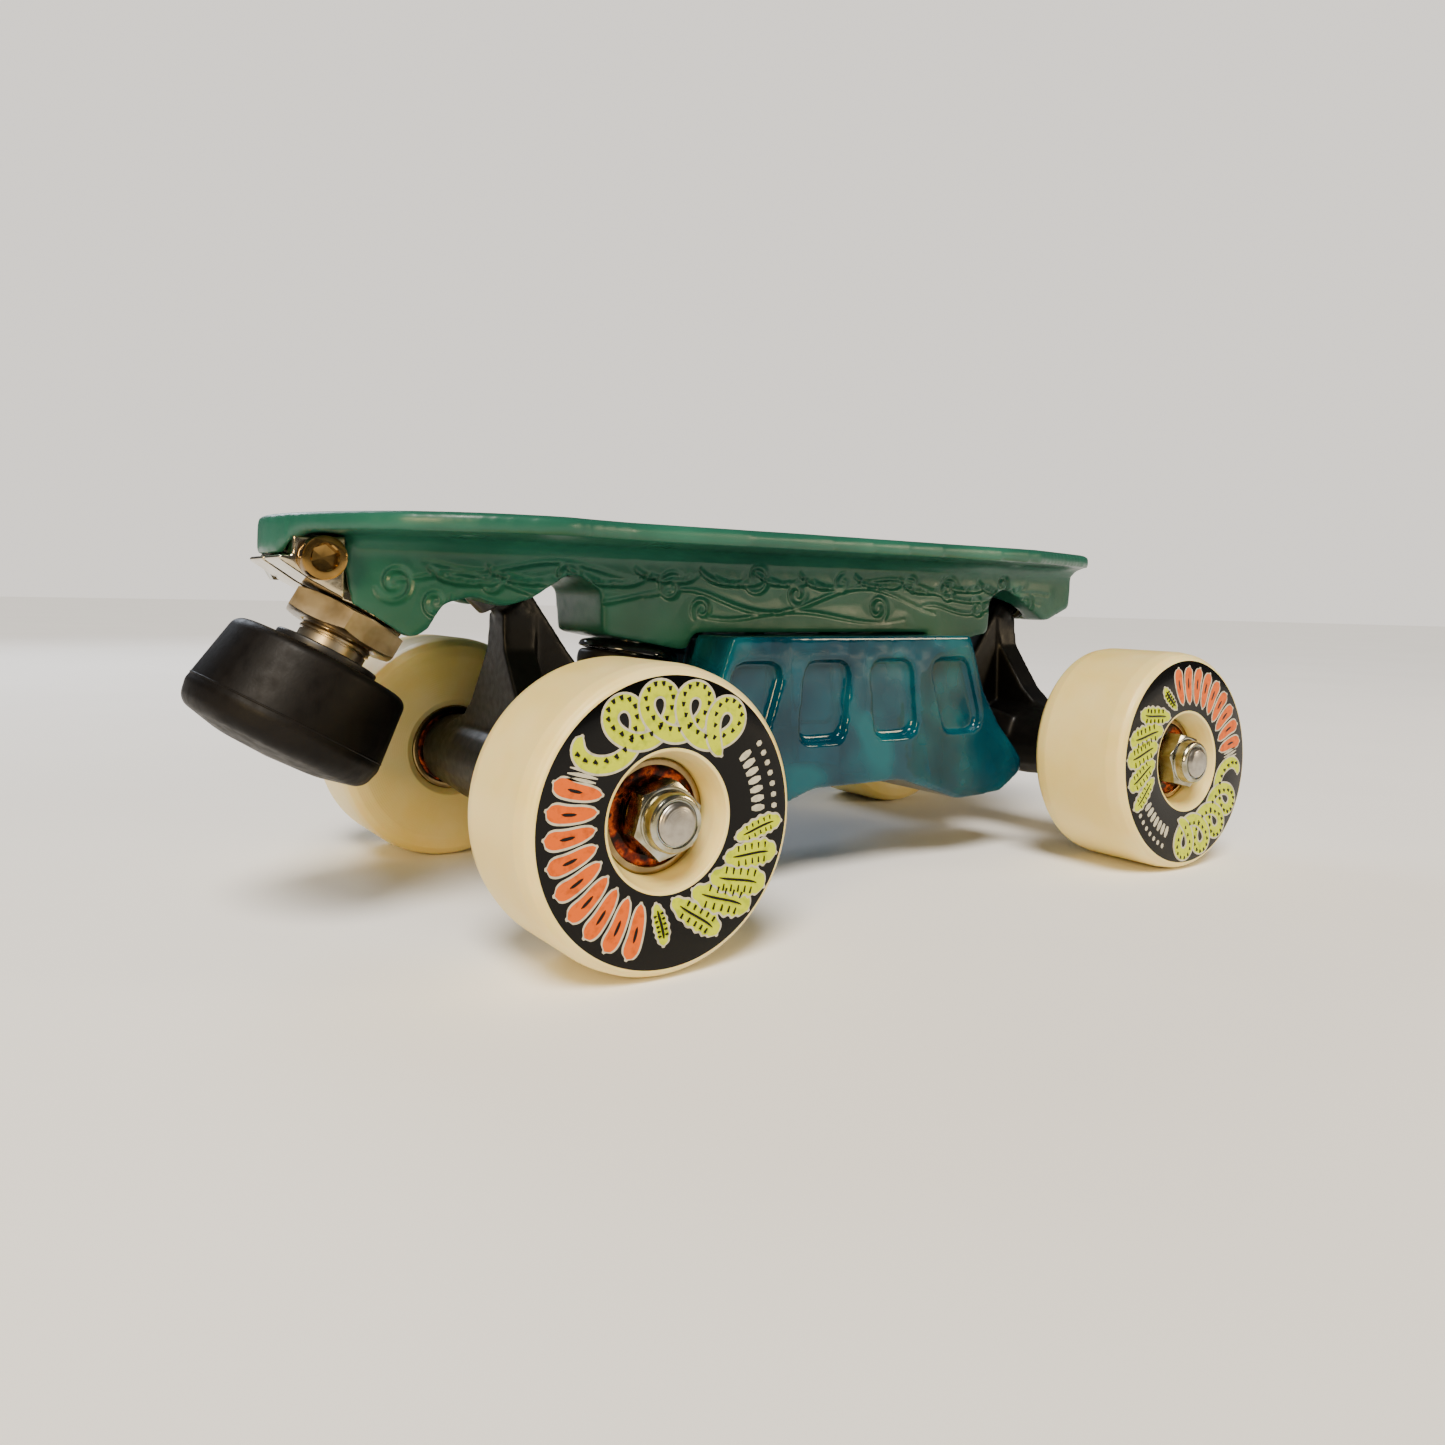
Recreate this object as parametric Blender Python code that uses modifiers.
"""A quad roller-skate chassis: a moulded plate, two sprung trucks, four wheels, a toe stop and a slide block.

Lengths are in millimetres until a mesh is made, which is in metres.
+X runs from the toe to the heel, +Y across the skate and +Z up. Heights are counted from the line of the
axles until the last step, which stands the wheels on z = 0 and centres the chassis on the origin.
"""

import math

import bmesh
import bpy
from mathutils import Matrix, Vector

MM = 0.001
GAP = 0.3  # left between two pieces that touch

# Overall sizes
WHEELBASE = 163.0
TRACK = 109.0  # between the middles of a left and a right wheel
PLATE_TOP = 56.5  # above the axle line

# Wheels, bearings and axles
WHEEL_DIAMETER = 58.0
WHEEL_WIDTH = 29.6
WHEEL_FACE_RADIUS = 27.3
WHEEL_TREAD_WIDTH = 19.8
WHEEL_LIP_RADIUS = 12.8
WHEEL_BORE_RADIUS = 9.6
BEARING_OUTER_RADIUS = 11.0
BEARING_WIDTH = 7.0
BEARING_INNER_RADIUS = 5.9
BEARING_RING_WALL = 1.5
INNER_BEARING_START = -13.8  # from the wheel's middle plane, positive away from the skate's centreline
SPACER_LENGTH = 8.0
AXLE_RADIUS = 4.0
AXLE_END = 17.6  # past the wheel's middle plane
AXLE_NUT_FLATS = 13.0
AXLE_NUT_HEX = 5.6
AXLE_NUT_LENGTH = 7.6
WASHER_THICKNESS = 1.0  # of the speed washer between a bearing and the nut or the hanger

# Trucks: the kingpin leans, and the hanger steers about the line from its pivot to the kingpin ring
RING_X = 26.65
RING_Z = 11.0
KINGPIN_LEAN = 10.0  # degrees
KINGPIN_RADIUS = 4.75
KINGPIN_HEAD_FLATS = 14.3
KINGPIN_HEAD_HEIGHT = 6.0
KINGPIN_NUT_FLATS = 14.3
KINGPIN_NUT_HEIGHT = 6.8
PIVOT_X = -11.0
PIVOT_Z = 46.0
PIVOT_RADIUS = 4.0
PIVOT_CUP_WALL = 1.9
PIVOT_CUP_DEPTH = 9.5
HANGER_TUBE_RADIUS = 9.0
RING_RADIUS = 15.0
RING_THICKNESS = 8.0
RING_HOLE = 7.4
CUSHION_ROOM = 1.4  # between a cushion's side and the casting round it
TOP_CUSHION_HEIGHT = 11.2
TOP_CUSHION_RADIUS = 12.4
BOTTOM_CUSHION_HEIGHT = 9.6
BOTTOM_CUSHION_RADIUS = 11.6
CUP_WASHER_RADIUS = 12.75
CUP_WASHER_HEIGHT = 2.7
LOWER_WASHER_RADIUS = 11.0
LOWER_WASHER_HEIGHT = 2.0

# Plate
RIM_THICKNESS = 3.9
BEAM_WIDTH = 26.0
BEAM_FILLET = 5.0
WAIST_HALF_WIDTH = 43.0
BALL_HALF_WIDTH = 47.2
TOE_REACH = 58.0  # from the front axle to the plate's toe end
HEEL_RADIUS = 29.0  # of the plate's round heel, about the rear axle
SKIRT_DEPTH = 8.2
SKIRT_WALL = 2.6
SKIRT_FLAT = 8.5  # from the centreline to where the skirt's lower edge starts to rise
SKIRT_END = 16.0
RECESS_Z = 32.3  # underside of the beam where the slide block seats
BOOT_HOLE_RADIUS = 3.2
BOOT_HOLE_INSET = 27.0  # from the centreline
HEEL_HOLE_INSET = 20.0  # of the rearmost pair
POCKET_WALL = 3.4
POCKET_RIB = 4.0
POCKET_FLOOR = 6.0

# Slide block
BLOCK_WIDTH = 59.0
BLOCK_TOP_HALF = 40.2
BLOCK_TIP_HALF = 61.3
BLOCK_FOOT_Z = -12.7
BLOCK_ARCH_Z = -6.4
BLOCK_NOTCH_RADIUS = 17.2
BLOCK_WINDOW_DEPTH = 2.4
BLOCK_WINDOWS = 4
BLOCK_SCREW_SPACING = 26.0
SCREW_RADIUS = 3.0
SCREW_HEAD_RADIUS = 5.0
SCREW_HEAD_HEIGHT = 6.0
SCREW_HEAD_Z = 8.0  # underside of the screw heads' seats
M6_NUT_FLATS = 10.0
M6_NUT_HEIGHT = 5.0

# Toe stop: s is counted down its axis from the point TOE_X, TOE_Z
TOE_X = -42.6
TOE_Z = 30.2
TOE_TILT = 29.2  # degrees from upright
TOE_FACE_S = -7.0
STEM_RADIUS = 7.94
STEM_TOP_S = -21.5
LOCK_NUT_FLATS = 23.8
LOCK_NUT_HEIGHT = 5.4
STEM_COLLAR_S = 2.6
STEM_COLLAR_RADIUS = 11.4
STEM_COLLAR_HEIGHT = 1.6
STEM_CORE_RADIUS = 6.0
STEM_CORE_DEPTH = 11.0
RUBBER_HEIGHT = 22.6
RUBBER_TOP_RADIUS = 19.4
RUBBER_RADIUS = 21.5
INSERT_WIDTH = 28.0
INSERT_SLEEVE_RADIUS = 11.4
CLAMP_X = -49.6
CLAMP_Z = 47.5
CLAMP_SLIT = 1.6
INSERT_STEP_X = -44.6  # where the clamp block narrows to slide into the plate

AXLE_Z = WHEEL_DIAMETER / 2
HALF_TRACK = TRACK / 2
RIM_BOTTOM = PLATE_TOP - RIM_THICKNESS
MIDDLE_X = WHEELBASE / 2
TUBE_END = HALF_TRACK + INNER_BEARING_START - WASHER_THICKNESS
EMBED = 1.0  # how far joined shapes run into each other

ROUND = Matrix.Identity(4)
# Turns (x, y, z) into (z, x, y).
LENGTHWISE = Matrix(((0, 0, 1, 0), (1, 0, 0, 0), (0, 1, 0, 0), (0, 0, 0, 1)))


# ---------------------------------------------------------------- scene, materials and placing


def clear_scene():
    for thing in list(bpy.data.objects):
        bpy.data.objects.remove(thing, do_unlink=True)


def new_collection(name):
    made = bpy.data.collections.new(name)
    bpy.context.scene.collection.children.link(made)
    return made


def principled(name, colour, roughness, metallic=0.0):
    made = bpy.data.materials.new(name)
    made.use_nodes = True
    shader = made.node_tree.nodes["Principled BSDF"]
    shader.inputs["Base Color"].default_value = (*colour, 1.0)
    shader.inputs["Roughness"].default_value = roughness
    shader.inputs["Metallic"].default_value = metallic
    made.diffuse_color = (*colour, 1.0)
    return made


def at(x, y, z):
    """A translation, in millimetres."""
    return Matrix.Translation(Vector((x, y, z)) * MM)


def turned(degrees, axis):
    return Matrix.Rotation(math.radians(degrees), 4, axis)


def along(x, y, z, direction):
    """A frame at a point whose local Z runs along a direction and whose local Y stays level."""
    up = Vector(direction).normalized()
    side = Vector((0, 1, 0)) if abs(up.y) < 0.9 else Vector((0, 0, 1))
    forward = side.cross(up).normalized()
    side = up.cross(forward)
    basis = Matrix((forward, side, up)).transposed().to_4x4()
    return at(x, y, z) @ basis


class Assembly:
    """The parts, the cutters and the empties that carry them."""

    def __init__(self):
        self.parts = new_collection("skate_chassis")
        self.cutters = new_collection("cutters")
        self.frames = {}
        self.root = self.empty("chassis", ROUND)

    def empty(self, name, frame, parent=None):
        made = bpy.data.objects.new(name, None)
        made.empty_display_size = 10 * MM
        self.parts.objects.link(made)
        self.frames[made] = frame
        if parent:
            made.parent = parent
            made.matrix_basis = self.frames[parent].inverted() @ frame
        return made

    def place(self, thing, frame, parent=None):
        parent = parent or self.root
        thing.parent = parent
        thing.matrix_basis = self.frames[parent].inverted() @ frame
        self.frames[thing] = frame
        return thing

    def part(self, name, mesh, frame, material, parent=None):
        made = bpy.data.objects.new(name, mesh)
        self.parts.objects.link(made)
        made.data.materials.clear()
        made.data.materials.append(material)
        return self.place(made, frame, parent)

    def tool(self, mesh, frame):
        """A hidden shape that cuts or joins a part."""
        made = bpy.data.objects.new("tool", mesh)
        self.cutters.objects.link(made)
        made.hide_render = True
        made.display_type = "WIRE"
        return self.place(made, frame)


def boolean(thing, operand, operation):
    modifier = thing.modifiers.new(operation.lower(), "BOOLEAN")
    modifier.operation = operation
    modifier.solver = "EXACT"
    modifier.object = operand


def cut(thing, *operands):
    for operand in operands:
        boolean(thing, operand, "DIFFERENCE")


def join(thing, *operands):
    for operand in operands:
        boolean(thing, operand, "UNION")


# ---------------------------------------------------------------- shapes


def loose(name, mesh):
    """A temporary object for a shape that is still being made."""
    thing = bpy.data.objects.new(name, mesh)
    bpy.context.scene.collection.objects.link(thing)
    return thing


def discard(*things):
    for thing in things:
        bpy.data.objects.remove(thing, do_unlink=True)


def evaluated_mesh(thing, name):
    """The mesh that an object's modifiers or curve give, with the object itself removed."""
    graph = bpy.context.evaluated_depsgraph_get()
    mesh = bpy.data.meshes.new_from_object(thing.evaluated_get(graph))
    bpy.data.objects.remove(thing, do_unlink=True)
    shape = bmesh.new()
    shape.from_mesh(mesh)
    bmesh.ops.remove_doubles(shape, verts=shape.verts, dist=0.002 * MM)
    shape.to_mesh(mesh)
    shape.free()
    mesh.name = name
    return mesh


def smooth(mesh, degrees=35):
    mesh.shade_smooth()
    mesh.set_sharp_from_angle(angle=math.radians(degrees))
    return mesh


def lathe(name, profile, segments, start=0.0):
    """A turned shape about local Z: profile points (radius, height) go down the outside, top to bottom.

    A profile that starts and ends on the axis is a solid; any other is closed round into a ring.
    """
    mesh = bpy.data.meshes.new(name)
    spin = turned(start, "Z")
    points = [spin @ Vector((r * MM, 0, h * MM)) for r, h in profile]
    edges = [(i, i + 1) for i in range(len(points) - 1)]
    if profile[0][0] > 0:
        edges.append((len(points) - 1, 0))
    mesh.from_pydata(points, edges, [])
    thing = loose(name, mesh)
    screw = thing.modifiers.new("turn", "SCREW")
    screw.axis = "Z"
    screw.angle = math.tau
    screw.steps = segments
    screw.render_steps = segments
    screw.use_merge_vertices = True
    screw.merge_threshold = 0.005 * MM
    return smooth(evaluated_mesh(thing, name))


def tube(name, outer, inner, low, high, segments):
    return lathe(name, [(outer, high), (outer, low), (inner, low), (inner, high)], segments)


def rod(name, radius, low, high, segments, start=0.0):
    return lathe(name, [(0, high), (radius, high), (radius, low), (0, low)], segments, start)


def prism(name, outline, low, high):
    """A flat outline in local XY, extruded from one local height to another."""
    curve = bpy.data.curves.new(name, "CURVE")
    curve.dimensions = "2D"
    curve.fill_mode = "BOTH"
    curve.extrude = (high - low) / 2 * MM
    spline = curve.splines.new("POLY")
    spline.points.add(len(outline) - 1)
    for point, (x, y) in zip(spline.points, outline):
        point.co = (x * MM, y * MM, 0, 1)
    spline.use_cyclic_u = True
    mesh = evaluated_mesh(loose(name, curve), name)
    mesh.transform(at(0, 0, (high + low) / 2))
    shape = bmesh.new()
    shape.from_mesh(mesh)
    bmesh.ops.recalc_face_normals(shape, faces=shape.faces)
    shape.to_mesh(mesh)
    shape.free()
    return smooth(mesh)


def cuboid(name, low, high):
    mesh = bpy.data.meshes.new(name)
    shape = bmesh.new()
    bmesh.ops.create_cube(shape, size=1)
    size = [b - a for a, b in zip(low, high)]
    middle = [(a + b) / 2 for a, b in zip(low, high)]
    bmesh.ops.scale(shape, vec=Vector(size) * MM, verts=shape.verts)
    bmesh.ops.translate(shape, vec=Vector(middle) * MM, verts=shape.verts)
    shape.to_mesh(mesh)
    shape.free()
    return mesh


def arc(x, y, radius, start, end, steps):
    """Points on an arc, degrees counted from +X towards +Y."""
    turns = [math.radians(start + (end - start) * i / steps) for i in range(steps + 1)]
    return [(x + radius * math.cos(t), y + radius * math.sin(t)) for t in turns]


def rounded(corners, steps=3):
    """An outline whose corners (x, y, radius) are rounded with short arcs."""
    outline = []
    for i, (x, y, radius) in enumerate(corners):
        here = Vector((x, y))
        before = Vector(corners[i - 1][:2]) - here
        after = Vector(corners[(i + 1) % len(corners)][:2]) - here
        half = before.angle(after) / 2
        reach = min(radius / math.tan(half), 0.48 * before.length, 0.48 * after.length)
        if radius <= 0 or reach < 0.05:
            outline.append((x, y))
            continue
        size = reach * math.tan(half)
        centre = here + (before.normalized() + after.normalized()).normalized() * (size / math.sin(half))
        first = here + before.normalized() * reach - centre
        last = here + after.normalized() * reach - centre
        swing = first.angle_signed(last)
        for step in range(steps + 1):
            spoke = first.copy()
            spoke.rotate(Matrix.Rotation(-swing * step / steps, 2))
            outline.append((centre.x + spoke.x, centre.y + spoke.y))
    return outline


def hexagon(flats):
    radius = flats / 2 / math.cos(math.radians(30))
    corners = [math.radians(60 * i) for i in range(6)]
    return [(radius * math.cos(corner), radius * math.sin(corner)) for corner in corners]


def nut_mesh(name, flats, height, bore, collar=0.0):
    """A hex nut standing on local z = 0, its corners chamfered, with an optional round collar on top."""
    across = flats / 2 / math.cos(math.radians(30))
    face = flats / 2 - 0.15
    crown = (across - face) * 0.6
    top = height + collar
    waist = flats / 2 - 0.5
    profile = [(0, height), (face, height)]
    if collar:
        profile = [(0, top), (waist - 0.8, top), (waist, top - 0.8), (waist, height), (face, height)]
    profile += [(across + 0.3, height - crown), (across + 0.3, 0), (0, 0)]
    blank = loose(name, prism(name, hexagon(flats), -1, top + 1))
    chamfers = loose(name, lathe(name, profile, 12, 15))
    inside = loose(name, rod(name, bore, -2, top + 2, 24))
    boolean(blank, chamfers, "INTERSECT")
    cut(blank, inside)
    made = evaluated_mesh(blank, name)
    discard(chamfers, inside)
    return smooth(made, 25)


def socket_screw_mesh(name, shank, length, head, head_height, key=2.5):
    """A socket cap screw: its head stands on local z = 0 and its shank hangs below."""
    profile = [(0, head_height), (head - 0.5, head_height), (head, head_height - 0.5), (head, 0)]
    profile += [(shank, 0), (shank, -length + 0.6), (shank - 0.6, -length), (0, -length)]
    body = loose(name, lathe(name, profile, 14))
    socket = loose(name, prism(name, hexagon(2 * key), head_height * 0.45, head_height + 1))
    cut(body, socket)
    made = evaluated_mesh(body, name)
    discard(socket)
    return smooth(made, 25)


# ---------------------------------------------------------------- frames that several pieces share


class Truck:
    """One truck's frames: its axle, kingpin and steering lines. The rear truck is the front one turned."""

    def __init__(self, assembly, name, axle_x, half_turn):
        self.name = name
        self.axle = at(axle_x, 0, 0) @ turned(180 if half_turn else 0, "Z")
        lean = math.radians(KINGPIN_LEAN)
        self.kingpin = self.axle @ along(RING_X, 0, RING_Z, (math.sin(lean), 0, math.cos(lean)))
        steer = (PIVOT_X - RING_X, 0, PIVOT_Z - RING_Z)
        self.pivot_distance = Vector(steer).length
        self.steering = self.axle @ along(RING_X, 0, RING_Z, steer)
        self.empty = assembly.empty(name + "_truck", self.steering, assembly.root)


def kingpin_height(z):
    """How far up the kingpin from the ring's centre a given height is reached."""
    return (z - RING_Z) / math.cos(math.radians(KINGPIN_LEAN))


def stack_heights():
    """Places along the kingpin of each piece's foot, from the ring's centre, positive towards the plate."""
    top_cushion = RING_THICKNESS / 2 + GAP
    top_washer = top_cushion + TOP_CUSHION_HEIGHT + GAP
    boss = top_washer + CUP_WASHER_HEIGHT + GAP
    bottom_cushion = -RING_THICKNESS / 2 - GAP - BOTTOM_CUSHION_HEIGHT
    bottom_washer = bottom_cushion - GAP - LOWER_WASHER_HEIGHT
    nut = bottom_washer - GAP - KINGPIN_NUT_HEIGHT
    return {
        "top_cushion": top_cushion,
        "top_washer": top_washer,
        "boss": boss,
        "bottom_cushion": bottom_cushion,
        "bottom_washer": bottom_washer,
        "kingpin_nut": nut,
    }


STACK = stack_heights()
KINGPIN_HEAD_FOOT = kingpin_height(PLATE_TOP) - KINGPIN_HEAD_HEIGHT - 2.6


def toe_frame():
    """The toe stop's frame: local Z runs down its axis, local Y across the skate."""
    tilt = math.radians(TOE_TILT)
    return along(TOE_X, 0, TOE_Z, (-math.sin(tilt), 0, -math.cos(tilt)))


def toe_point(s, forward):
    """A point (x, z) at s down the toe stop's axis and a distance forward of it."""
    tilt = math.radians(TOE_TILT)
    x = TOE_X - s * math.sin(tilt) - forward * math.cos(tilt)
    z = TOE_Z - s * math.cos(tilt) + forward * math.sin(tilt)
    return x, z


# ---------------------------------------------------------------- plate


def eased(points):
    """Adds a point halfway along each curve through the points, apart from the first and last stretch."""
    made = [points[0]]
    for i in range(1, len(points) - 2):
        before, here, there, after = [Vector(point) for point in points[i - 1 : i + 3]]
        halfway = (here + there) * 0.5625 - (before + after) * 0.0625
        made += [points[i], tuple(halfway)]
    return made + points[-2:]


def plate_outline():
    """The plate's plan: a round toe, the widest line at the ball of the foot and a round heel."""
    heel = arc(WHEELBASE, 0, HEEL_RADIUS, 0, 76, 10)
    side = [(WHEELBASE - 22, WAIST_HALF_WIDTH - 5.8), (MIDDLE_X + 25, WAIST_HALF_WIDTH - 4.2)]
    side += [(MIDDLE_X - 31, WAIST_HALF_WIDTH - 0.8), (6, WAIST_HALF_WIDTH), (-10, BALL_HALF_WIDTH)]
    toe = [(-19, BALL_HALF_WIDTH - 1), (-28.3, BALL_HALF_WIDTH - 3.2), (-41, BALL_HALF_WIDTH - 10.8)]
    end = -TOE_REACH
    toe += [(end + 7.5, 23.9), (end + 3.6, 16.0), (end + 0.9, 8.0), (end, 0)]
    half = heel + eased([heel[-1]] + side + toe + [(end + 0.9, -8.0)])[1:-1]
    return half + [(x, -y) for x, y in reversed(half[1:-1])]


def beam_profile():
    """The beam's side view (x, z): toe housing, pivot lobes, arches over the hangers and kingpin bosses."""
    boss = STACK["boss"]
    lean = math.radians(KINGPIN_LEAN)
    low_x = RING_X + boss * math.sin(lean)
    low_z = RING_Z + boss * math.cos(lean)

    def on_boss(x):
        return low_z - (x - low_x) * math.tan(lean)

    boss_corners = [(15.8, on_boss(15.8), 1.5), (39.0, on_boss(39.0), 1.2)]
    recess = (41.2, RECESS_Z, 1.0)
    arch = [(7.7, 46.6, 4.5), (14.9, 42.5, 2.5)]
    lobe_front = [(-23.2, 38.6, 3.0), (-16.3, 40.3, 3.0), (-9.2, 38.1, 3.0), (-2.6, 40.0, 2.0)]
    toe_low_x, toe_low_z = toe_point(TOE_FACE_S, -10.6)
    toe_high_x, toe_high_z = toe_point(TOE_FACE_S, 4.0)
    toe = [(-44.0, PLATE_TOP - 2, 0), (-44.0, 45.5, 0), (toe_high_x, toe_high_z, 0)]
    toe += [(toe_low_x, toe_low_z, 2.2), (-26.6, 32.9, 2.0)]
    front = toe + lobe_front + arch + boss_corners + [recess]
    rear_lobe = [(7.7, 46.0, 4.5), (-3.0, 39.6, 0), (-10.5, 35.6, 2.5), (-22.4, 40.2, 2.0)]
    rear_lobe += [(-23.3, PLATE_TOP - 2, 0)]
    rear = [recess] + list(reversed(boss_corners)) + [arch[1]] + rear_lobe
    return rounded(front + [(WHEELBASE - x, z, r) for x, z, r in rear])


def upright(y_low, y_high):
    """A frame in which a prism's outline is (x, z) and its height runs along Y between two places."""
    return turned(90, "X"), -y_high, -y_low


def side_prism(name, outline, y_low, y_high):
    frame, low, high = upright(y_low, y_high)
    mesh = prism(name, outline, low, high)
    mesh.transform(frame)
    return mesh


def fillet_section():
    """Half of a cross-section (y, z) that widens the beam in a hollow curve up to the rim."""
    centre = BEAM_WIDTH / 2 + BEAM_FILLET - GAP
    curve = arc(centre, RIM_BOTTOM - BEAM_FILLET, BEAM_FILLET, 180, 100, 4)
    return curve + [(centre, RIM_BOTTOM + EMBED)]


def build_fillets(assembly):
    right = fillet_section()
    section = right + [(-y, z) for y, z in reversed(right)]
    mesh = prism("beam_fillets", section, -43.4, WHEELBASE + 22.9)
    mesh.transform(LENGTHWISE)
    return assembly.tool(mesh, ROUND)


def shape_underside(assembly, plate):
    """Thins the slab to the rim's thickness, leaving a skirt that hangs in front of the toe stop's clamp."""
    low = PLATE_TOP - SKIRT_DEPTH - 1
    front = -TOE_REACH - 5
    back = WHEELBASE + HEEL_RADIUS + 5
    side = BALL_HALF_WIDTH + 5
    inner = [(x + SKIRT_WALL, y) for x, y in plate_outline() if x < -TOE_REACH + 5]
    inner.sort(key=lambda point: point[1])
    outline = [(front, -SKIRT_END - 1)] + inner + [(front, SKIRT_END + 1), (front, side), (back, side)]
    outline += [(back, -side), (front, -side)]
    cut(plate, assembly.tool(prism("underside", outline, low, RIM_BOTTOM), ROUND))
    end = SKIRT_END + 1.5
    slope = [(SKIRT_FLAT, low), (SKIRT_FLAT, low + 1), (SKIRT_END, RIM_BOTTOM - GAP)]
    slope += [(end, RIM_BOTTOM - GAP), (end, low)]
    for mirror in (1, -1):
        wedge = prism("skirt_slope", [(mirror * y, z) for y, z in slope], front, front + 16)
        wedge.transform(LENGTHWISE)
        cut(plate, assembly.tool(wedge, ROUND))


def insert_profile(clearance=0.0):
    """The clamp's side view (x, z), grown by a clearance where it seats in the plate."""
    face = TOE_FACE_S + clearance
    lower_front = toe_point(face, 13.5)
    top = RIM_BOTTOM - 2 * GAP + clearance
    front = -TOE_REACH + SKIRT_WALL + 2 * GAP
    nose = PLATE_TOP - SKIRT_DEPTH - GAP
    back = -41.0 + clearance
    tilt = math.radians(TOE_TILT)
    lower_back = toe_point(face, (TOE_X - face * math.sin(tilt) - back) / math.cos(tilt))
    outline = [(front, top), (front, nose), (-TOE_REACH + 0.6, nose), (-TOE_REACH + 0.6, nose - 0.8)]
    outline += [lower_front, lower_back, (back, top)]
    return outline


def build_insert_shape(assembly, clearance):
    """The toe stop's metal insert: a clamp block with a sleeve round the stem, without its bores."""
    half = INSERT_WIDTH / 2
    lug_half = half - 4 + clearance
    body = loose("insert", side_prism("insert", insert_profile(clearance), -half, half))
    outside = cuboid("lug_sides", (-TOE_REACH - 1, -half - 1, 0), (INSERT_STEP_X, half + 1, 60))
    outer = loose("insert", outside)
    inner = loose("insert", cuboid("lug_inner", (INSERT_STEP_X - 2, -lug_half, 1), (0, lug_half, 59)))
    mouth = TOE_FACE_S - GAP / 2 + 2 * clearance
    sleeve_mesh = rod("sleeve", INSERT_SLEEVE_RADIUS + clearance, STEM_TOP_S - clearance, mouth, 22, 3)
    sleeve_mesh.transform(toe_frame())
    sleeve = loose("insert", sleeve_mesh)
    join(outer, inner)
    boolean(body, outer, "INTERSECT")
    join(body, sleeve)
    made = evaluated_mesh(body, "insert")
    discard(outer, inner, sleeve)
    return made


def plate_pockets():
    """Boxes (low, high) of the lightening pockets that open in the plate's top, clear of the block's nuts."""
    half = BEAM_WIDTH / 2 - POCKET_WALL
    floor = RECESS_Z + POCKET_FLOOR
    top = PLATE_TOP + 1
    keep = M6_NUT_FLATS / 2 + POCKET_RIB
    near = MIDDLE_X - BLOCK_SCREW_SPACING / 2
    far = MIDDLE_X + BLOCK_SCREW_SPACING / 2
    first = RING_X + 18.8
    spans = [(first, near - keep), (near + keep, far - keep), (far + keep, WHEELBASE - first)]
    pockets = []
    for start, end in spans:
        if end - start > 2 * POCKET_RIB:
            pockets.append(((start, -half, floor), (end, half, top)))
    return pockets


def boot_holes():
    """Centres of the holes that bolt the plate to a boot's sole."""
    rows = [(-24.0, BOOT_HOLE_INSET), (22.0, BOOT_HOLE_INSET), (WHEELBASE - 52.0, BOOT_HOLE_INSET)]
    rows.append((WHEELBASE - 8.0, HEEL_HOLE_INSET))
    return [(x, side * y) for x, y in rows for side in (1, -1)]


def build_plate(assembly, trucks, green):
    slab = prism("baseplate", plate_outline(), PLATE_TOP - SKIRT_DEPTH, PLATE_TOP)
    plate = assembly.part("baseplate", slab, ROUND, green)
    shape_underside(assembly, plate)
    half = BEAM_WIDTH / 2
    beam = assembly.tool(side_prism("beam", beam_profile(), -half, half), ROUND)
    join(plate, beam, build_fillets(assembly))

    for truck in trucks:
        head_foot = KINGPIN_HEAD_FOOT
        shank = rod("kingpin_hole", KINGPIN_RADIUS + GAP, STACK["boss"] - 2, head_foot + 1, 16)
        room = hexagon(KINGPIN_HEAD_FLATS + 2 * GAP)
        pocket = prism("kingpin_pocket", room, head_foot - GAP, head_foot + 20)
        cup = rod(
            "pivot_seat",
            PIVOT_RADIUS + GAP + PIVOT_CUP_WALL + GAP,
            truck.pivot_distance - PIVOT_CUP_DEPTH - 12,
            truck.pivot_distance + PIVOT_RADIUS * 0.4 + PIVOT_CUP_WALL,
            16,
        )
        cut(plate, assembly.tool(shank, truck.kingpin), assembly.tool(pocket, truck.kingpin))
        cut(plate, assembly.tool(cup, truck.steering))

    seat = build_insert_shape(assembly, GAP)
    cut(plate, assembly.tool(seat, ROUND))
    stem_room = rod("stem_room", STEM_RADIUS + 2 * GAP, STEM_TOP_S - 3, TOE_FACE_S + 2, 20)
    cut(plate, assembly.tool(stem_room, toe_frame()))

    for low, high in plate_pockets():
        cut(plate, assembly.tool(cuboid("pocket", low, high), ROUND))
    for offset in (-1, 1):
        x = MIDDLE_X + offset * BLOCK_SCREW_SPACING / 2
        hole = rod("block_screw_hole", SCREW_RADIUS + GAP, RECESS_Z - 5, PLATE_TOP - 5, 12)
        well = prism("block_nut_well", hexagon(M6_NUT_FLATS + 2 * GAP), block_nut_z() - GAP, PLATE_TOP + 5)
        cut(plate, assembly.tool(hole, at(x, 0, 0)), assembly.tool(well, at(x, 0, 0)))
    for x, y in boot_holes():
        hole = rod("boot_hole", BOOT_HOLE_RADIUS, RIM_BOTTOM - 8, PLATE_TOP + 5, 12)
        cut(plate, assembly.tool(hole, at(x, y, 0)))
    return plate


# ---------------------------------------------------------------- toe stop


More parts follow.
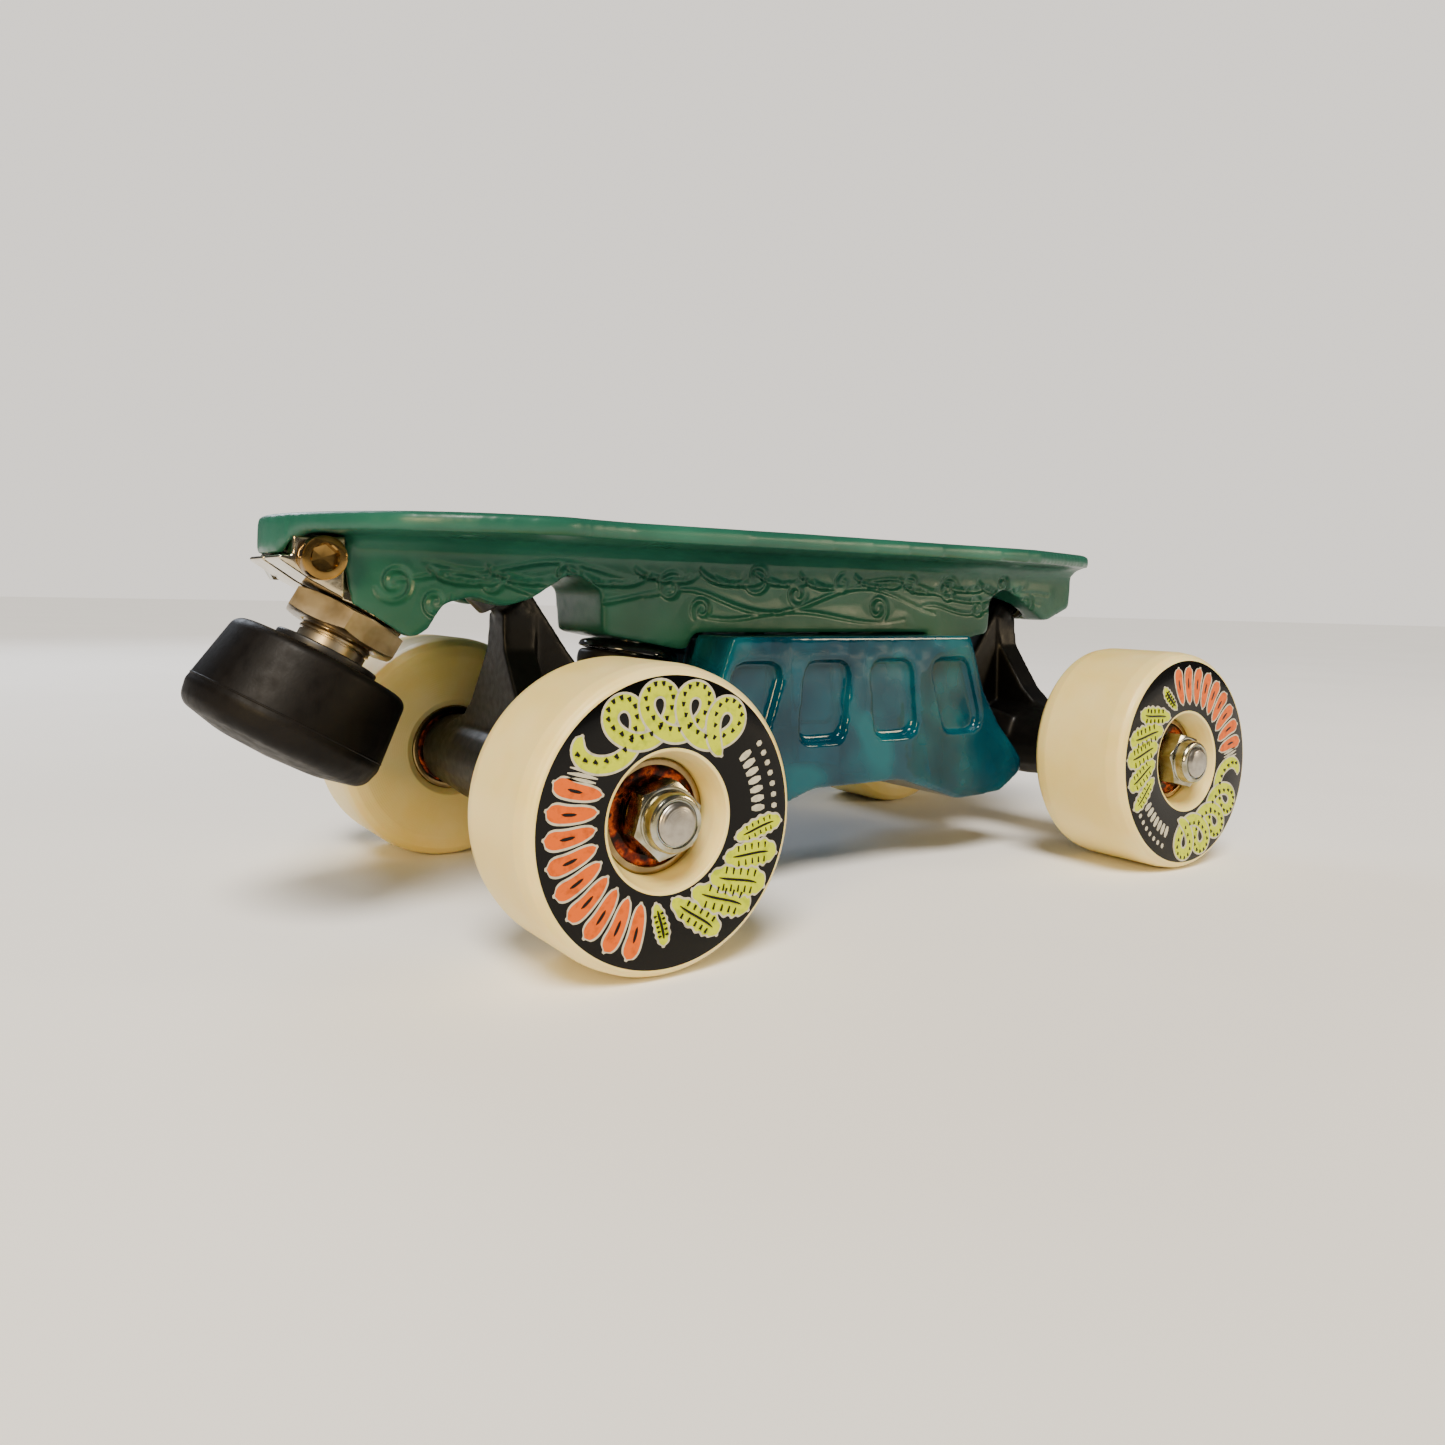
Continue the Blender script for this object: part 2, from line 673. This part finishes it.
def build_toe_stop(assembly, steel, chrome, black_oxide, rubber_black):
    shape = build_insert_shape(assembly, 0.0)
    insert = assembly.part("toe_stop_insert", shape, ROUND, chrome)
    bore = rod("stem_bore", STEM_RADIUS + GAP, STEM_TOP_S - 3, TOE_FACE_S + 3, 20, 5)
    slit = cuboid("clamp_slit", (-TOE_REACH - 2, -CLAMP_SLIT / 2, 0), (-44, CLAMP_SLIT / 2, PLATE_TOP))
    across = turned(90, "X")
    clamp = at(CLAMP_X, 0, CLAMP_Z) @ across
    half = INSERT_WIDTH / 2
    hole = rod("clamp_hole", SCREW_RADIUS + GAP, -half - 2, half + 2, 12)
    cut(insert, assembly.tool(bore, toe_frame()), assembly.tool(slit, ROUND), assembly.tool(hole, clamp))

    nut_thickness = M6_NUT_HEIGHT - 1
    length = INSERT_WIDTH + nut_thickness + 2 * GAP + 0.8
    screw = socket_screw_mesh("toe_clamp_screw", SCREW_RADIUS, length + GAP, SCREW_HEAD_RADIUS - 0.4, 4.0)
    screw_frame = clamp @ at(0, 0, half + GAP)
    assembly.part("toe_clamp_screw", screw, screw_frame, black_oxide)
    nut = nut_mesh("toe_clamp_nut", M6_NUT_FLATS - 1.2, nut_thickness, SCREW_RADIUS + GAP)
    nut_frame = clamp @ at(0, 0, -half - GAP - nut_thickness)
    assembly.part("toe_clamp_nut", nut, nut_frame, steel)

    axis = toe_frame()
    carrier = assembly.empty("toe_stop", axis, assembly.root)
    lock_nut = nut_mesh("toe_stop_lock_nut", LOCK_NUT_FLATS, LOCK_NUT_HEIGHT, STEM_RADIUS + GAP)
    nut_frame = axis @ at(0, 0, TOE_FACE_S + GAP) @ turned(13, "Z")
    assembly.part("toe_stop_lock_nut", lock_nut, nut_frame, steel)

    collar_end = STEM_COLLAR_S + STEM_COLLAR_HEIGHT
    core_end = collar_end + STEM_CORE_DEPTH
    stem = [(0, core_end), (STEM_CORE_RADIUS, core_end), (STEM_CORE_RADIUS, collar_end)]
    stem += [(STEM_COLLAR_RADIUS, collar_end), (STEM_COLLAR_RADIUS, STEM_COLLAR_S)]
    stem += [(STEM_RADIUS - 0.8, STEM_COLLAR_S), (STEM_RADIUS - 0.8, STEM_COLLAR_S - 0.9)]
    stem += [(STEM_RADIUS, STEM_COLLAR_S - 1.2), (STEM_RADIUS, STEM_TOP_S + 1), (STEM_RADIUS - 1, STEM_TOP_S)]
    stem += [(0, STEM_TOP_S)]
    assembly.part("toe_stop_stem", lathe("toe_stop_stem", stem, 20), axis, steel, carrier)

    top = collar_end + GAP
    low = top + RUBBER_HEIGHT
    rubber = [(0, low), (RUBBER_RADIUS * 0.5, low - 0.3), (RUBBER_RADIUS * 0.82, low - 1.6)]
    rubber += [(RUBBER_RADIUS * 0.93, low - 3.0), (RUBBER_RADIUS, low - 5.6)]
    rubber += [(RUBBER_TOP_RADIUS + 0.4, top + 2), (RUBBER_TOP_RADIUS - 1.2, top)]
    rubber += [(STEM_CORE_RADIUS + GAP, top), (STEM_CORE_RADIUS + GAP, core_end + GAP), (0, core_end + GAP)]
    assembly.part("toe_stop_rubber", lathe("toe_stop_rubber", rubber, 28), axis, rubber_black, carrier)


# ---------------------------------------------------------------- slide block


def block_top_z():
    return RECESS_Z - GAP


def block_nut_z():
    return block_top_z() + 12.0


def block_profile():
    """The slide block's side view (x from the middle, z): waisted sides, two feet and an arch below."""
    top = block_top_z()
    tip = BLOCK_TIP_HALF
    foot = BLOCK_FOOT_Z
    half = [(BLOCK_TOP_HALF, top, 1.6), (BLOCK_TOP_HALF + 5.2, 17.0, 9.0), (BLOCK_TOP_HALF + 12, 6.8, 6.0)]
    half += [(tip, -2.6, 3.0), (tip + 0.4, -6.6, 2.5), (tip - 8.5, foot + 0.8, 4.0)]
    half += [(tip - 25, foot, 8.0), (tip - 46, BLOCK_ARCH_Z + 0.6, 12.0)]
    left = [(-x, z, r) for x, z, r in reversed(half)]
    return rounded(list(reversed(left)) + list(reversed(half)), 3)


def window_outline(index):
    """A rounded recess in the block's side, slanted more towards the ends, in (x from the middle, z)."""
    pitch = (2 * BLOCK_TOP_HALF + 4) / BLOCK_WINDOWS
    centre = (index - (BLOCK_WINDOWS - 1) / 2) * pitch
    splay = centre * 0.16
    half = pitch * 0.36
    high = block_top_z() - 6
    low = 5.5
    corners = [(centre - half, high), (centre + half, high)]
    corners += [(centre + half + splay * 1.3, low), (centre - half + splay * 1.3, low)]
    return rounded([(x, z, 3.4) for x, z in corners], 2)


def build_block(assembly, trucks, teal, steel):
    half = BLOCK_WIDTH / 2
    mesh = side_prism("slide_block", block_profile(), -half, half)
    block = assembly.part("slide_block", mesh, at(MIDDLE_X, 0, 0), teal)
    for truck in trucks:
        notch = rod("kingpin_notch", BLOCK_NOTCH_RADIUS, -45, 45, 24)
        cut(block, assembly.tool(notch, truck.kingpin))
        beside = BLOCK_NOTCH_RADIUS - 1
        passage = cuboid("hanger_way", (-30, -beside, -40), (RING_X - 2, beside, 40))
        cut(block, assembly.tool(passage, truck.axle))
    for index in range(BLOCK_WINDOWS):
        outline = window_outline(index)
        for low in (-half - 1, half - BLOCK_WINDOW_DEPTH):
            pocket = side_prism("window", outline, low, low + BLOCK_WINDOW_DEPTH + 1)
            cut(block, assembly.tool(pocket, at(MIDDLE_X, 0, 0)))

    seat = SCREW_HEAD_Z
    top = block_nut_z() + M6_NUT_HEIGHT + 1.5
    flip = turned(180, "X")
    for side, word in ((-1, "front"), (1, "rear")):
        place = at(MIDDLE_X + side * BLOCK_SCREW_SPACING / 2, 0, 0)
        hole = rod("screw_hole", SCREW_RADIUS + GAP, seat - 3, block_top_z() + 3, 12)
        well = rod("screw_head_well", SCREW_HEAD_RADIUS + 1, BLOCK_FOOT_Z - 5, seat, 16)
        cut(block, assembly.tool(hole, place), assembly.tool(well, place))
        length = top - seat + GAP
        screw = socket_screw_mesh("screw", SCREW_RADIUS, length, SCREW_HEAD_RADIUS, SCREW_HEAD_HEIGHT)
        assembly.part(f"slide_block_{word}_screw", screw, place @ at(0, 0, seat - GAP) @ flip, steel)
        nut = nut_mesh("nut", M6_NUT_FLATS, M6_NUT_HEIGHT, SCREW_RADIUS + GAP)
        assembly.part(f"slide_block_{word}_nut", nut, place @ at(0, 0, block_nut_z()), steel)


# ---------------------------------------------------------------- trucks


def build_hanger(assembly, truck, black):
    """The cast hanger: axle tube, web, kingpin ring and the pivot nose, joined into one casting."""
    name = truck.name + "_hanger"
    sideways = turned(-90, "X")
    middle = HANGER_TUBE_RADIUS + 1.6
    tube_profile = [(HANGER_TUBE_RADIUS, TUBE_END), (middle, 17)]
    tube_profile += [(middle, -17), (HANGER_TUBE_RADIUS, -TUBE_END)]
    bore = AXLE_RADIUS + GAP
    tube_profile += [(bore, -TUBE_END), (bore, TUBE_END)]
    casting = assembly.part(name, lathe(name, tube_profile, 20, 4), truck.axle @ sideways, black, truck.empty)

    shoulder = truck.pivot_distance - 11.3
    steer = Vector((PIVOT_X - RING_X, PIVOT_Z - RING_Z)).normalized()
    across = Vector((-steer.y, steer.x))
    root = Vector((RING_X, RING_Z)) + steer * shoulder
    toe_side = root - across * 5.0
    heel_side = root + across * 5.0
    if toe_side.x > heel_side.x:
        toe_side, heel_side = heel_side, toe_side
    rib = [tuple(heel_side), tuple(toe_side), (-5.5, 26.0), (-5.5, 6.0), (8.0, 3.0), (RING_X - 7, 7.4)]
    rib += [(RING_X - 9, 19.5), (RING_X - 15.6, 27.6)]
    keep = [(4.6, toe_side.y + 2), (-4.6, toe_side.y + 2)]
    web = [(4.6, 33.0), (5.4, 28.0), (9.0, 22.7), (14.0, 15.6), (18.5, 11.6), (28.0, 8.6), (33.0, 4.0)]
    half_web = web + [(33.0, 0.0)]
    outline = half_web + [(-y, z) for y, z in reversed(half_web)] + list(reversed(keep))
    web_mesh = prism("web", outline, -6.0, 2.0)
    web_mesh.transform(LENGTHWISE)
    rib_mesh = side_prism("rib", rib, -4.1, 4.1)

    gusset = [(0, 21), (9, 17), (RING_X - 3, 12.6), (RING_X - 3, -12.6), (9, -17), (0, -21)]
    drop = math.degrees(math.atan2(RING_Z - 1.0, RING_X))
    plank = prism("gusset", gusset, -3.4, 3.4)
    ring = rod("ring", RING_RADIUS, -RING_THICKNESS / 2, RING_THICKNESS / 2, 24, 3)
    eye = rod("eye", RING_HOLE, -RING_THICKNESS, RING_THICKNESS, 16)
    tip = truck.pivot_distance + PIVOT_RADIUS * 0.4
    nose = [(0, tip), (PIVOT_RADIUS * 0.62, tip - 0.5)]
    nose += [(PIVOT_RADIUS, tip - 2.4), (PIVOT_RADIUS, shoulder + 1.2)]
    nose += [(PIVOT_RADIUS + 1.2, shoulder), (PIVOT_RADIUS + 0.4, shoulder - 4), (0, shoulder - 4)]
    shaft = rod("shaft", bore, -TUBE_END - 1, TUBE_END + 1, 16, 2)

    above = rod("top_cushion_room", TOP_CUSHION_RADIUS + CUSHION_ROOM, RING_THICKNESS / 2 - 1, 40, 24, 5)
    room_radius = BOTTOM_CUSHION_RADIUS + CUSHION_ROOM
    below = rod("bottom_cushion_room", room_radius, -40, 1 - RING_THICKNESS / 2, 24, 5)

    join(
        casting,
        assembly.tool(web_mesh, truck.axle),
        assembly.tool(rib_mesh, truck.axle),
        assembly.tool(plank, truck.axle @ at(0, 0, 0.6) @ turned(-drop, "Y")),
    )
    cut(casting, assembly.tool(above, truck.kingpin), assembly.tool(below, truck.kingpin))
    join(
        casting,
        assembly.tool(ring, truck.kingpin),
        assembly.tool(lathe("nose", nose, 14), truck.steering),
    )
    cut(casting, assembly.tool(eye, truck.kingpin), assembly.tool(shaft, truck.axle @ sideways))


def build_truck(assembly, truck, paint):
    name = truck.name
    build_hanger(assembly, truck, paint["cast"])
    sideways = turned(-90, "X")
    end = HALF_TRACK + AXLE_END
    axle = [(0, end), (AXLE_RADIUS - 0.7, end), (AXLE_RADIUS, end - 0.7)]
    axle += [(AXLE_RADIUS, -end + 0.7), (AXLE_RADIUS - 0.7, -end), (0, -end)]
    assembly.part(name + "_axle", lathe("axle", axle, 16), truck.axle @ sideways, paint["steel"], truck.empty)

    cup_end = truck.pivot_distance + PIVOT_RADIUS * 0.4 + GAP
    cup_start = cup_end - PIVOT_CUP_DEPTH
    inner = PIVOT_RADIUS + GAP
    outer = inner + PIVOT_CUP_WALL
    back = cup_end + PIVOT_CUP_WALL - 2 * GAP
    cup = [(0, back), (outer - 1, back), (outer, back - 1), (outer, cup_start), (inner + 0.4, cup_start)]
    cup += [(inner, cup_start + 1), (inner, cup_end), (0, cup_end)]
    assembly.part(name + "_pivot_cup", lathe("pivot_cup", cup, 16), truck.steering, paint["nylon"])

    foot = STACK["kingpin_nut"] - 1.6
    head = KINGPIN_HEAD_FOOT
    shank = rod("kingpin", KINGPIN_RADIUS, foot, head + EMBED, 16)
    bolt = assembly.part(name + "_kingpin", shank, truck.kingpin, paint["steel"])
    hexed = prism("kingpin_head", hexagon(KINGPIN_HEAD_FLATS), 0, KINGPIN_HEAD_HEIGHT)
    join(bolt, assembly.tool(hexed, truck.kingpin @ at(0, 0, head)))

    hole = KINGPIN_RADIUS + GAP

    def stack(piece, mesh, material):
        place = truck.kingpin @ at(0, 0, STACK[piece])
        assembly.part(f"{name}_{piece}", mesh, place, paint[material])

    rise = CUP_WASHER_HEIGHT
    wide = CUP_WASHER_RADIUS
    washer = [(wide - 2.2, rise), (wide - 0.6, rise - 0.5), (wide, rise - 1.3)]
    washer += [(wide, 0), (hole, 0), (hole, rise)]
    stack("top_washer", lathe("top_washer", washer, 20), "gloss")
    high = TOP_CUSHION_HEIGHT
    fat = TOP_CUSHION_RADIUS
    inside = hole + GAP
    barrel = [(fat - 1.6, high), (fat, high - 2.2), (fat, 2.2), (fat - 1.6, 0), (inside, 0), (inside, high)]
    stack("top_cushion", lathe("top_cushion", barrel, 20), "urethane")
    high = BOTTOM_CUSHION_HEIGHT
    fat = BOTTOM_CUSHION_RADIUS
    cone = [(fat, high), (fat, high - 2), (fat - 2.4, 0), (inside, 0), (inside, high)]
    stack("bottom_cushion", lathe("bottom_cushion", cone, 20), "urethane")
    flat = tube("bottom_washer", LOWER_WASHER_RADIUS, hole, 0, LOWER_WASHER_HEIGHT, 20)
    stack("bottom_washer", flat, "gloss")
    nut = nut_mesh("kingpin_nut", KINGPIN_NUT_FLATS, KINGPIN_NUT_HEIGHT, hole)
    stack("kingpin_nut", nut, "steel")

    for side, word in ((-1, "near"), (1, "far")):
        build_wheel(assembly, truck, f"{name}_{word}", side, paint)


def build_wheel(assembly, truck, name, side, paint):
    """A tyre with two bearings, their spacer, washers and nut. Local Z points away from the skate."""
    frame = at((truck.axle @ Vector((0, 0, 0))).x / MM, side * HALF_TRACK, 0) @ turned(-90 * side, "X")
    hub = assembly.empty(name + "_wheel", frame, truck.empty)

    radius = WHEEL_DIAMETER / 2
    half = WHEEL_WIDTH / 2
    tread = WHEEL_TREAD_WIDTH / 2
    inner_start = INNER_BEARING_START
    outer_start = inner_start + BEARING_WIDTH + SPACER_LENGTH
    outer_end = outer_start + BEARING_WIDTH
    seat = BEARING_OUTER_RADIUS + GAP
    shoulder = (radius + WHEEL_FACE_RADIUS) / 2 + 0.2
    tyre = [(WHEEL_FACE_RADIUS, half - 0.8), (shoulder, (half + tread) / 2 + 0.5), (radius, tread)]
    tyre += [(radius, -tread), (shoulder, -(half + tread) / 2 - 0.5), (WHEEL_FACE_RADIUS - 3, -half)]
    tyre += [(seat, -half), (seat, inner_start + BEARING_WIDTH + GAP)]
    tyre += [(WHEEL_BORE_RADIUS, inner_start + BEARING_WIDTH + GAP), (WHEEL_BORE_RADIUS, outer_start - GAP)]
    tyre += [(seat, outer_start - GAP), (seat, outer_end + 0.6), (WHEEL_LIP_RADIUS, half - 0.8)]
    assembly.part(name + "_tyre", lathe("tyre", tyre, 28), frame, paint["urethane_cream"], hub)

    wall = BEARING_RING_WALL
    for word, start in (("inner_bearing", inner_start), ("outer_bearing", outer_start)):
        place = frame @ at(0, 0, start)
        ring = tube("outer_ring", BEARING_OUTER_RADIUS, BEARING_OUTER_RADIUS - wall, 0, BEARING_WIDTH, 14)
        assembly.part(f"{name}_{word}_outer_ring", ring, place, paint["bearing"], hub)
        ring = tube("inner_ring", BEARING_INNER_RADIUS, AXLE_RADIUS + GAP, 0, BEARING_WIDTH, 12)
        assembly.part(f"{name}_{word}_inner_ring", ring, place, paint["steel"], truck.empty)

    spacer_start = inner_start + BEARING_WIDTH
    spacer = tube("spacer", BEARING_INNER_RADIUS, AXLE_RADIUS + GAP, GAP, SPACER_LENGTH - GAP, 12)
    assembly.part(name + "_spacer", spacer, frame @ at(0, 0, spacer_start), paint["steel"], truck.empty)
    collar = AXLE_NUT_LENGTH - AXLE_NUT_HEX
    nut = nut_mesh("axle_nut", AXLE_NUT_FLATS, AXLE_NUT_HEX, AXLE_RADIUS + GAP, collar)
    nut_frame = frame @ at(0, 0, outer_end + WASHER_THICKNESS)
    assembly.part(name + "_axle_nut", nut, nut_frame, paint["steel"], truck.empty)


# ---------------------------------------------------------------- the whole chassis


def stand_on_floor(assembly):
    """Moves the chassis so that the middle of its box stands on the origin."""
    graph = bpy.context.evaluated_depsgraph_get()
    lows, highs = [], []
    for thing in assembly.parts.objects:
        if thing.type != "MESH":
            continue
        solid = thing.evaluated_get(graph)
        mesh = solid.to_mesh()
        xs = [(solid.matrix_world @ vertex.co).x for vertex in mesh.vertices]
        lows.append(min(xs))
        highs.append(max(xs))
        solid.to_mesh_clear()
    middle = (min(lows) + max(highs)) / 2
    assembly.root.location = (-middle, 0, AXLE_Z * MM)


def main():
    clear_scene()
    paint = {
        "green": principled("green_nylon", (0.075, 0.20, 0.12), 0.38),
        "teal": principled("teal_urethane", (0.0, 0.19, 0.24), 0.12),
        "urethane_cream": principled("cream_urethane", (0.80, 0.70, 0.44), 0.42),
        "urethane": principled("black_urethane", (0.02, 0.02, 0.02), 0.5),
        "cast": principled("black_cast_alloy", (0.012, 0.012, 0.012), 0.42, 0.4),
        "gloss": principled("black_gloss_steel", (0.01, 0.01, 0.01), 0.1, 0.6),
        "steel": principled("zinc_steel", (0.62, 0.60, 0.54), 0.28, 1.0),
        "chrome": principled("chromed_steel", (0.75, 0.72, 0.66), 0.12, 1.0),
        "black_oxide": principled("bronzed_steel", (0.22, 0.17, 0.09), 0.3, 1.0),
        "bearing": principled("bearing_steel", (0.12, 0.07, 0.05), 0.3, 0.8),
        "nylon": principled("black_nylon", (0.02, 0.02, 0.02), 0.5),
        "rubber": principled("black_rubber", (0.018, 0.015, 0.012), 0.7),
    }
    assembly = Assembly()
    trucks = [Truck(assembly, "front", 0, False), Truck(assembly, "rear", WHEELBASE, True)]
    build_plate(assembly, trucks, paint["green"])
    build_toe_stop(assembly, paint["steel"], paint["chrome"], paint["black_oxide"], paint["rubber"])
    build_block(assembly, trucks, paint["teal"], paint["steel"])
    for truck in trucks:
        build_truck(assembly, truck, paint)
    bpy.context.view_layer.update()
    stand_on_floor(assembly)


main()
